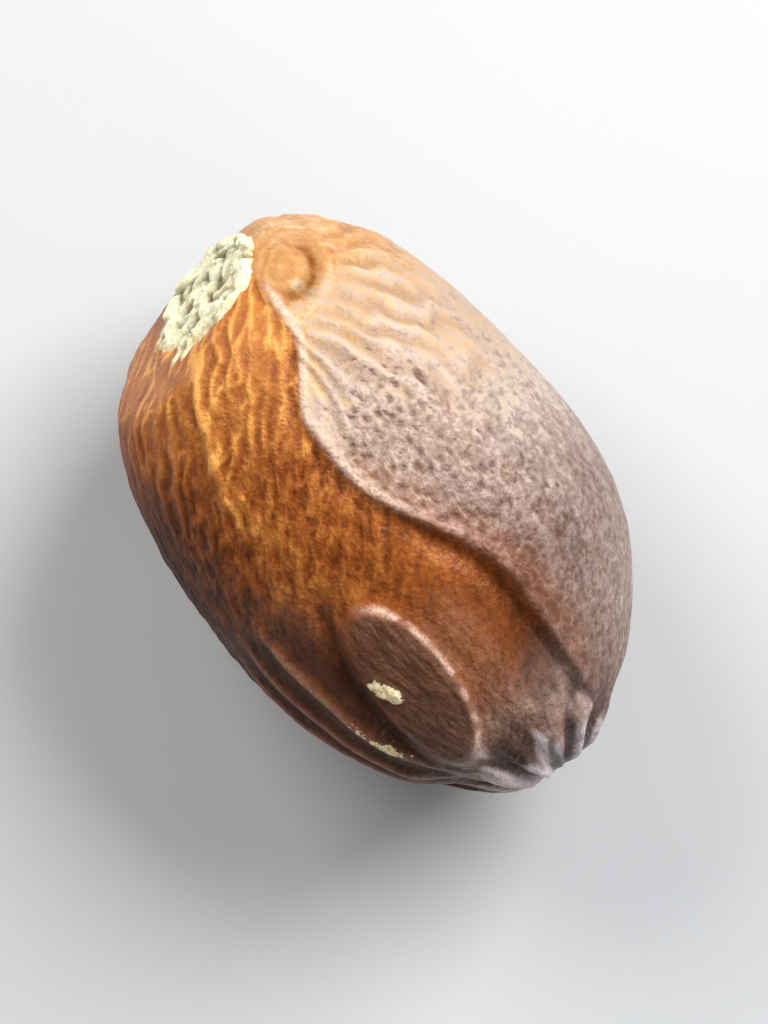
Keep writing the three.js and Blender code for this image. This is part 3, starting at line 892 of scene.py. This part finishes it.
def peach_mask(nut):
    """The lobe's colours, 0 dark mauve to 1 peach: peach by the scar, mauve to the apex and the underside.

    Worm marks, streaks and the lobe's edge are lighter. The crests of the pleats and the folds are lighter as
    painted highlight, and between them darker as painted shade.
    """
    x, y, past = nut.x, nut.y, nut.past
    peach = 0.33 + 0.27 * smooth(8, -6, x) + 0.2 * smooth(-6, -10, x) + 0.2 * smooth(-10, -12.5, x)
    peach = peach + 0.03 * smooth(5.5, 8.5, y) - 0.05 * smooth(6, 3.5, y) * smooth(-6, -2, x)
    peach = peach + 0.1 * bump(past - 0.5, 0.8) * smooth(-3, -7, x) - 0.22 * smooth(2, -5, nut.z)
    # The last term lightens the pleats' crests and darkens their hollows: painted highlight and painted shade.
    peach = peach + 0.06 * nut.patches + 0.08 * nut.worm + 0.1 * nut.pleat
    peach = peach - 0.2 * smooth(8.5, 13, x) * smooth(3, 1, y) + 0.05 * smooth(5, 9, x) * smooth(1, 3, y)
    peach = peach + 0.05 * bump(x + 5, 2.5) - 0.03 * smooth(-8, -10, x)
    peach = peach + 0.06 * bump(x + 1.5, 4.5) * bump(past - 2, 2.5) + 0.05 * bump(x - 1, 4) * smooth(5.5, 8, y)
    streaked = 0.03 + 0.15 * (1 - nut.lobe) + 0.85 * np.clip(nut.streak, -0.35, 0.28)
    peach = peach + smooth(8.5, 11, x) * streaked
    peach = peach - 0.1 * smooth(13, 14, x) - 0.16 * bump(x - 13.6, 0.9) * bump(y - 0.3, 1.6)
    # Fold crests lighter and the folds' valleys darker: painted highlight and painted shade.
    peach = peach + (0.16 * np.clip(nut.crests, 0, 1) - 0.12) * nut.mauve_folds
    return peach + 0.1 * nut.above_boss + 0.18 * bump(x - 12.8, 1.5) * smooth(0.2, -1.2, y)


def shade_mask(nut):
    """Paler above 0 and darker below: waves, worm marks and streaks; the knob's groove darker as painted shade,
    and a ring round it paler as painted highlight.
    """
    x, y = nut.x, nut.y
    # The knob's groove term is painted shade.
    shade = 0.95 * nut.flow + (0.6 + 0.5 * smooth(-1, 3, x)) * nut.worm - 2.4 * nut.knob_groove
    shade = shade + 2.2 * nut.streak
    # A paler ring round the knob's groove: painted highlight.
    shade = shade + 0.5 * bump(nut.knob_away - 2.3, 0.4) * nut.lobe * smooth(-12.5, -11, x) * nut.top
    return shade - 0.4 * bump(x + 9.5, 2.5) * smooth(3.2, 4.5, y) - 0.4 * bump(x + 4.5, 3) * smooth(6, 8.5, y)


def crease_shade_mask(nut):
    """Painted shade in dark lines: in hollows, at the foot of the step, in the moat and between the folds, off
    the scar.
    """
    x, y, past = nut.x, nut.y, nut.past
    # Painted shade in the hollows, stronger off the lobe.
    crease_shade = smooth(0.012, 0.06, nut.hollow) * (0.6 - 0.4 * nut.lobe)
    crease_shade = crease_shade * (1 - 0.8 * bump(past + 0.2, 0.6) * nut.bold)
    foot = bump(past + 0.22, 0.24) * nut.bold * (0.06 + 0.18 * nut.ragged) * smooth(13, 9.5, x)
    crease_shade = crease_shade + (foot + 0.3 * bump(past + 0.4, 0.35) * bump(x + 0.5, 2.6)) * nut.top
    crease_shade = crease_shade + 0.85 * bump(nut.boss_away - 0.5, 0.4) * smooth(-0.3, -0.95, nut.boss_v)
    off_crest = 1 - np.clip(nut.crests, 0, 1)
    crease_shade = crease_shade + 0.5 * off_crest * nut.fold_stretch * smooth(-5.8, -6.6, y) * nut.top
    return np.clip(crease_shade * smooth(4.2, 5.2, nut.scar_away), 0, 1)


def rim_highlight_mask(nut):
    """Painted highlights on edges that catch the light: of the lobe along the step, of the boss on its high
    side, and on the crests of the folds.
    """
    # Painted highlights: the lobe's edge, the boss's high side and the fold crests.
    rim = 1.3 * bump(nut.past - 0.32, 0.22) * smooth(2.5, -1, nut.x) * smooth(-13.5, -11, nut.x) * nut.top
    rim = rim + bump(nut.boss_away + 0.02, 0.11) * smooth(-0.1, 0.6, nut.boss_v) * (0.1 + 0.75 * nut.ragged)
    rim = rim + sum(bump(away, FOLD_RIM_WIDTH) for away in nut.fold_away) * 0.24 * nut.fold_stretch
    return np.clip(rim, 0, 1)


def worn_mask(nut):
    """How worn the uppermost fold is: a bell across it on a short stretch, broken up by two sizes of noise."""
    worn = bump(nut.fold_away[0] - WORN_FOLD["middle"], WORN_FOLD["width"]) * along(WORN_FOLD, nut.x)
    return WORN_FOLD["strength"] * worn * (0.5 + 0.5 * nut.ragged) * (0.75 + 0.5 * nut.worn_grain)


def painted_sheen_mask(nut):
    """Painted white sheen of the apex: on the crests of the tip's pleats, and on streaks above the boss's end.
    """
    x, y = nut.x, nut.y
    tip = smooth(14.0, 14.9, x) * smooth(-3.8, -2.2, y) * smooth(3, 1.5, y) * smooth(-2, 0.3, nut.z)
    crests = 0.15 + 0.75 * smooth(-0.1, 0.5, nut.pleat + 0.8 * nut.streak)
    streaky = smooth(9.5, 12, x) * smooth(-5.8, -3.5, y) * smooth(0.6, -0.8, y) * nut.top
    streaks = 0.6 * streaky * smooth(0.05, 0.32, nut.streak)
    return np.maximum(tip * crests * (0.45 + 0.55 * nut.ragged), streaks)


def mauve_mask(nut):
    """Where the lobe's colours show: past the step, less the brown band by its edge, and softly elsewhere.

    Elsewhere is the greatest of the apex, the underside, the folds and the places beside and above the boss.
    """
    brown_band = 0.34 * bump(nut.past - 0.9, 0.9) * smooth(-5, -2, nut.x)
    lobe = nut.lobe * (1 - brown_band) * smooth(0, 0.25 + 0.22 * nut.bold, nut.past)
    apex_mauve = 0.75 * smooth(8.5, 12.5, nut.x) * smooth(-2, 1, nut.z)
    others = 0.3 * nut.under, 0.3 * nut.beside_boss, 0.36 * nut.mauve_folds, 0.32 * nut.above_boss
    return lobe, np.max([lobe, apex_mauve, *others], axis=0)


def shell_masks(places, squares, look):
    """What the finish reads at each vertex, worked out from the relief, the hollows and the place on the nut.

    The cool mask is highest on the lobe's far middle. The satin mask is the roughness: polished at the apex,
    duller on the boss, the chips, the knob and the low flank. The lively one tells where the strokes show.
    """
    nut = Nut(places, squares, look)
    x, y = nut.x, nut.y
    worn = worn_mask(nut)
    chip = np.maximum(nut.chip, worn)
    lobe, mauve = mauve_mask(nut)
    satin = 0.4 - 0.02 * lobe - 0.12 * smooth(11, 14, x) + 0.12 * nut.boss + 0.4 * chip
    satin = satin + 0.15 * bump(nut.knob_away, 2.2) * nut.top + 0.14 * smooth(-6, -9, y)
    cool = lobe * smooth(-6, 0, x) * smooth(4.5, 8, y)
    cool = cool - 0.6 * lobe * bump(nut.past - 0.4, 1.2) * smooth(-4, 0, x)
    lively = nut.upper * (0.3 + 0.7 * smooth(6, -1, x)) * (1 - 0.55 * smooth(-3, -8, x))
    kept = {name: look[name] for name in ("grain", "stroke", "upper", "boss", "pit", "glint")}
    return dict(
        kept, lobe=mauve, lively=lively, sheen=painted_sheen_mask(nut), tone=tone_mask(nut), peach=peach_mask(nut),
        shade=shade_mask(nut), crease_shade=crease_shade_mask(nut), rim=rim_highlight_mask(nut), cool=cool, satin=satin, chip=chip,
        chip_light=np.clip(np.maximum(nut.chip_light, worn), 0, 1),
    )


def build_shell():
    """The shell on its fine grid, in place of the solid. Returns how far it was moved to lie like it."""
    directions, squares = cube_grid(GRID, GRID_STRETCH)
    places, look = nut_form(directions)
    masks = shell_masks(places, squares, look)
    places, offset = settle(places)
    shell = make_piece("nutmeg_shell", places, squares, masks, shell_finish())
    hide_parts("nutmeg")
    return offset


def settle(places):
    """Sets the nut down as the solid lies: pressed flat where it rests, over the middle of the solid's box."""
    low, high = places.min(axis=0), places.max(axis=0)
    floor = low[2] + FLAT_SPOT_DEPTH
    box_low, box_high = (np.array(corner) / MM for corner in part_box("nutmeg"))
    offset = (box_low + box_high) / 2 - (low + high) / 2
    offset[2] = -floor
    pressed = places.copy()
    pressed[:, 2] = np.maximum(pressed[:, 2], floor)
    return pressed + offset, offset


# ---------------------------------------------------------------- the cork of the scar

CORK_GRID = dict(spokes=260, rings=110, outer=6.2, under_rings=8, under=0.6)
CORK_EDGE = dict(
    radius=3.6, lumps=0.12, low_reach=0.8, low_side=(0.2, -0.9), ragged=0.55, fineness=0.7, gain=0.35,
    softness=0.7,
)
CORK_BODY = dict(thickness=0.16, flakes=0.34, lumps=0.05, crumbs=0.03, least=0.02, sunk=0.12)
FLAKES = dict(size=(1.9, 1.5, 1), layers=3, level=0.5, reach=0.6, gain=0.4, riser=(0.4, 0.6))
LUMPS = dict(size=(0.9, 0.6, 1), gain=0.6)
CRUMBS = dict(size=(0.32, 0.24, 1), gain=0.6)
CREVICES = dict(length=1.5, width=1.3, depth=0.36, half_width=0.14)
CRACKS = dict(length=0.9, width=0.6, depth=0.08, half_width=0.045)
SPLITS = dict(warp=0.3, break_length=0.8, fade=(-0.3, 0.1))
EDGE_RING = (2.2, 0.25)  # radius of a circle that noise is taken on, and how much the way out counts
STRAND_RING = (7, 0.35)
TONGUES = dict(turn=165, spread=40, reach=1.0, height=0.24, side=(0.1, 0.4), strand=(0.05, 0.35))
TONGUE_NOISE = dict(strand=1.15, reach=0.9)


def closed_rows(rows):
    """Faces that join rows of equal length, each closed round, and the single points before and after them."""
    count, spokes = rows
    index = 1 + np.arange(count * spokes).reshape(count, spokes)
    turned = np.roll(index, -1, axis=1)
    squares = np.stack([index[:-1], index[1:], turned[1:], turned[:-1]], axis=-1).reshape(-1, 4)
    last = 1 + count * spokes
    start = np.stack([np.zeros(spokes, dtype=int), index[0], turned[0]], axis=-1)
    end = np.stack([np.full(spokes, last), turned[-1], index[-1]], axis=-1)
    return list(squares) + list(start) + list(end)


def split_lines(sheet, kind, seed):
    """1 in the middle of narrow wavering splits, drawn out along the sheet and broken off here and there."""
    q = warped(sheet / (kind["length"], kind["width"], 1), SPLITS["warp"], seed + 2)
    distance = line_distance(q, seed) * kind["width"]
    there = smooth(*SPLITS["fade"], noise(sheet / (SPLITS["break_length"] * kind["length"]), seed + 1))
    return bump(distance, kind["half_width"]) * there


def scar_sheet(radii, turns):
    """The shell's surface on a polar grid round the scar's middle, its outward normals, and the flat grid.

    Each point of the flat grid on the scar's plane gives the direction in which the nut is worked out.
    """
    across = np.cross(SCAR_FACING, (0, 0, 1))
    across /= np.linalg.norm(across)
    upward = np.cross(across, SCAR_FACING)
    u, v = radii * np.cos(turns), radii * np.sin(turns)
    flat = (SCAR_CENTRE + u[..., None] * across + v[..., None] * upward).reshape(-1, 3)
    direction = flat / np.linalg.norm(flat, axis=1, keepdims=True)
    surface = nut_form(direction, fine=False)[0].reshape(*u.shape, 3)
    outwards = np.gradient(surface, radii[:, 0], axis=0)
    around = (np.roll(surface, -1, axis=1) - np.roll(surface, 1, axis=1)) / 2
    normal = np.cross(outwards, around)
    normal /= np.linalg.norm(normal, axis=-1, keepdims=True)
    normal = normal * np.sign((normal * SCAR_FACING).sum(axis=-1, keepdims=True).mean())
    return surface, normal, np.stack([u, v, np.zeros_like(u)], axis=-1)


def ring_places(radii, turns, ring):
    """Places on a circle, so that noise on them has no seam, drawn out along the way from the middle."""
    radius, outwards = ring
    return np.stack([radius * np.cos(turns), radius * np.sin(turns), outwards * radii], axis=-1)


def cork_thickness(sheet):
    """Terraces, lumps and crumbs of noise, less splits. Returns it, the lumps, and how much split there is."""
    layer = FLAKES["level"] + FLAKES["reach"] * rough(sized(sheet, FLAKES), SEED["cork"], FLAKES["gain"])
    layer = FLAKES["layers"] * layer
    terrace = (np.floor(layer) + smooth(*FLAKES["riser"], layer % 1)) / FLAKES["layers"]
    lumps = rough(sized(sheet, LUMPS), SEED["lumps"], LUMPS["gain"])
    crumbs = rough(sized(sheet, CRUMBS), SEED["crumbs"], CRUMBS["gain"])
    crevice = split_lines(sheet, CREVICES, SEED["crevices"])
    crack = split_lines(sheet, CRACKS, SEED["cracks"])
    thickness = CORK_BODY["thickness"] + CORK_BODY["flakes"] * terrace + CORK_BODY["lumps"] * lumps
    thickness = thickness + CORK_BODY["crumbs"] * crumbs - CREVICES["depth"] * crevice - CRACKS["depth"] * crack
    return np.maximum(thickness, CORK_BODY["least"]), lumps, np.clip(crevice + 0.3 * crack, 0, 1)


def cork_tongues(edge, ring, radii, turns):
    """Thin tongues of cork down the shell on one side: strands of noise, cut off past the ragged edge."""
    strand = noise(ring_places(radii, turns, STRAND_RING) * TONGUE_NOISE["strand"], SEED["tongues"])
    side = bump(wrapped(np.degrees(turns) - TONGUES["turn"]), TONGUES["spread"])
    length = noise(ring * TONGUE_NOISE["reach"], SEED["tongue_reach"])
    reach = TONGUES["reach"] * side * (0.6 + 0.8 * length)
    tongue = smooth(*TONGUES["side"], side) * smooth(*TONGUES["strand"], strand)
    return tongue * smooth(edge + reach, edge + 0.2 * reach, radii) * smooth(edge - 0.8, edge - 0.3, radii)


def build_cork(offset):
    """A crumbly crust over the scar: a polar grid round its middle, lifted off the shell by its thickness.

    It falls below 0 past a ragged edge, where the crust dives into the shell, but for the tongues that run on.
    A flat underside inside the shell closes it.
    """
    radii = CORK_GRID["outer"] * np.linspace(0, 1, CORK_GRID["rings"] + 1)[1:]
    turns = np.linspace(0, 2 * np.pi, CORK_GRID["spokes"], endpoint=False)
    radii, turns = np.meshgrid(radii, turns, indexing="ij")
    surface, normal, sheet = scar_sheet(radii, turns)
    thickness, lumps, split = cork_thickness(sheet)
    ring = ring_places(radii, turns, EDGE_RING)
    edge = CORK_EDGE["radius"] + CORK_EDGE["lumps"] * lumps
    edge = edge + CORK_EDGE["low_reach"] * smooth(*CORK_EDGE["low_side"], np.sin(turns))
    raggedness = rough(ring * CORK_EDGE["fineness"], SEED["cork_edge"], CORK_EDGE["gain"])
    edge = edge + CORK_EDGE["ragged"] * raggedness
    inside = smooth(edge, edge - CORK_EDGE["softness"], radii)
    sunk = CORK_BODY["sunk"]
    lift = (thickness + sunk) * inside + TONGUES["height"] * cork_tongues(edge, ring, radii, turns) - sunk
    top = surface + normal * np.maximum(lift, -sunk)[..., None]
    under = np.linspace(CORK_GRID["rings"] - 1, 0, CORK_GRID["under_rings"]).astype(int)
    bottom = surface[under] - normal[under] * CORK_GRID["under"]
    rows = np.concatenate([top, bottom])
    first, last = top[0].mean(axis=0), bottom[-1].mean(axis=0)
    places = np.concatenate([[first], rows.reshape(-1, 3), [last]])
    faces = closed_rows(rows.shape[:2])
    if np.cross(top[0, 0] - first, top[0, 1] - first) @ SCAR_FACING < 0:
        faces = [face[::-1] for face in faces]
    masks = dict(crevice=split * inside, edge=smooth(0.9, 0.2, inside) * (radii > 1))
    below = np.zeros(bottom[..., 0].size + 1)
    for name, mask in masks.items():
        masks[name] = np.concatenate([[mask[0].mean()], mask.ravel(), below])
    cork = make_piece("scar_cork", places + offset, faces, masks, cork_finish())


# ---------------------------------------------------------------- table, light and camera

TABLE = dict(half=1.5, grain=40.0, colours=(srgb(208, 208, 208), srgb(204, 205, 206)), roughness=0.7)
NUT_MIDDLE = Vector((0, 0, 10 * MM))
LIGHT_DISTANCE = 0.4
LIGHTS = (
    dict(name="window", towards=(-0.11, 0.76, 0.64), size=(0.24, 0.2), power=2.3, colour=(0.96, 0.98, 1.0)),
    dict(name="side_light", towards=(-0.8, -0.05, 0.6), size=(0.2, 0.2), power=1.1, colour=(1.0, 0.99, 0.97)),
    dict(name="low_light", towards=(0.95, 0.15, 0.24), size=(0.12, 0.12), power=0.3, colour=(0.97, 0.98, 1.0)),
)
ROOM = dict(Color=(0.95, 0.97, 1.0, 1), Strength=0.16)


def build_table():
    """A flat square of pale grey, hardly mottled."""
    mesh = bpy.data.meshes.new("table")
    half = TABLE["half"]
    corners = [(-half, -half, 0), (half, -half, 0), (half, half, 0), (-half, half, 0)]
    mesh.from_pydata(corners, [], [(0, 1, 2, 3)])
    finish = Finish("table")
    grain = finish.noise(finish.object_place(1), TABLE["grain"])
    finish.set(Base_Color=finish.mix(grain, *TABLE["colours"]), Roughness=TABLE["roughness"])
    mesh.materials.append(finish.material)
    table = bpy.data.objects.new("table", mesh)
    bpy.context.scene.collection.objects.link(table)


def area_light(name, towards, size, power, colour):
    """A rectangular light at the lights' distance from the nut, turned to face it."""
    light = bpy.data.lights.new(name, "AREA")
    light.shape, light.size, light.size_y = "RECTANGLE", *size
    light.energy, light.color = power, colour
    lamp = bpy.data.objects.new(name, light)
    place = NUT_MIDDLE + LIGHT_DISTANCE * Vector(towards)
    lamp.location = place
    lamp.rotation_euler = (NUT_MIDDLE - place).to_track_quat("-Z", "Y").to_euler()
    bpy.context.scene.collection.objects.link(lamp)


def build_light():
    """A broad cool window beside the lobe, a weaker light over the scar, a faint low one at the apex."""
    for light in LIGHTS:
        area_light(**light)
    world = bpy.data.worlds.new("room")
    world.use_nodes = True
    for name, value in ROOM.items():
        world.node_tree.nodes["Background"].inputs[name].default_value = value
    bpy.context.scene.world = world
    bpy.context.scene.view_settings.view_transform = "Standard"


CAMERA = dict(lens=135, distance=0.197, clip=(0.01, 10), across=(0.616, 0.788, 0.0), up=(-0.788, 0.616, 0.0))


def build_camera():
    """A long lens straight above the nut, turned so that the nut lies slanting, its scar at the upper left."""
    data = bpy.data.cameras.new("overhead")
    data.lens = CAMERA["lens"]
    data.clip_start, data.clip_end = CAMERA["clip"]
    camera = bpy.data.objects.new("overhead", data)
    across, up = Vector(CAMERA["across"]), Vector(CAMERA["up"])
    turned = Matrix((across, up, across.cross(up))).transposed().to_4x4()
    camera.matrix_world = Matrix.Translation((0, 0, 10 * MM + CAMERA["distance"])) @ turned
    bpy.context.scene.collection.objects.link(camera)
    bpy.context.scene.camera = camera


build_camera()
build_cork(build_shell())
build_table()
build_light()
